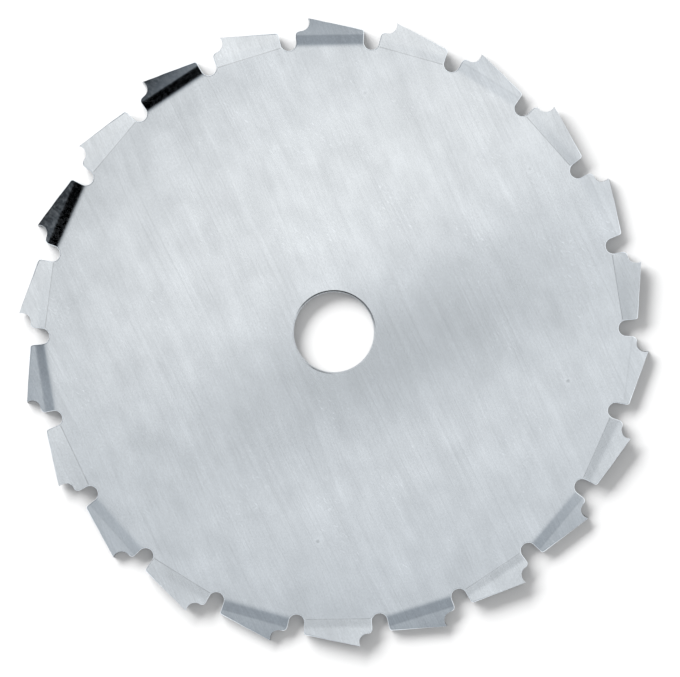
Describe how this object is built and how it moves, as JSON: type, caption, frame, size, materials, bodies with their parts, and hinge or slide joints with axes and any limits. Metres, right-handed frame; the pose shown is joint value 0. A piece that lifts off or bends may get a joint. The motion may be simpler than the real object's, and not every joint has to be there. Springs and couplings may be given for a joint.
{
  "type": "saw blade",
  "caption": "Flat circular saw blade of sheet steel with a plain centre bore and chisel teeth set to each side in turn.",
  "frame": {"origin": "middle of the bore, at half the thickness of the flat disc", "axes": "+Z along the bore's axis, out of the face that the picture shows; +X to the right and +Y up in the picture; seen from +Z the tips point anticlockwise"},
  "size_m": [0.1996, 0.1992, 0.0026],
  "materials": {
    "ground_steel": "surface-ground bare steel with fine parallel grinding lines"
  },
  "bodies": {
    "root": {"saw_blade": "ground_steel"}
  },
  "joints": []
}
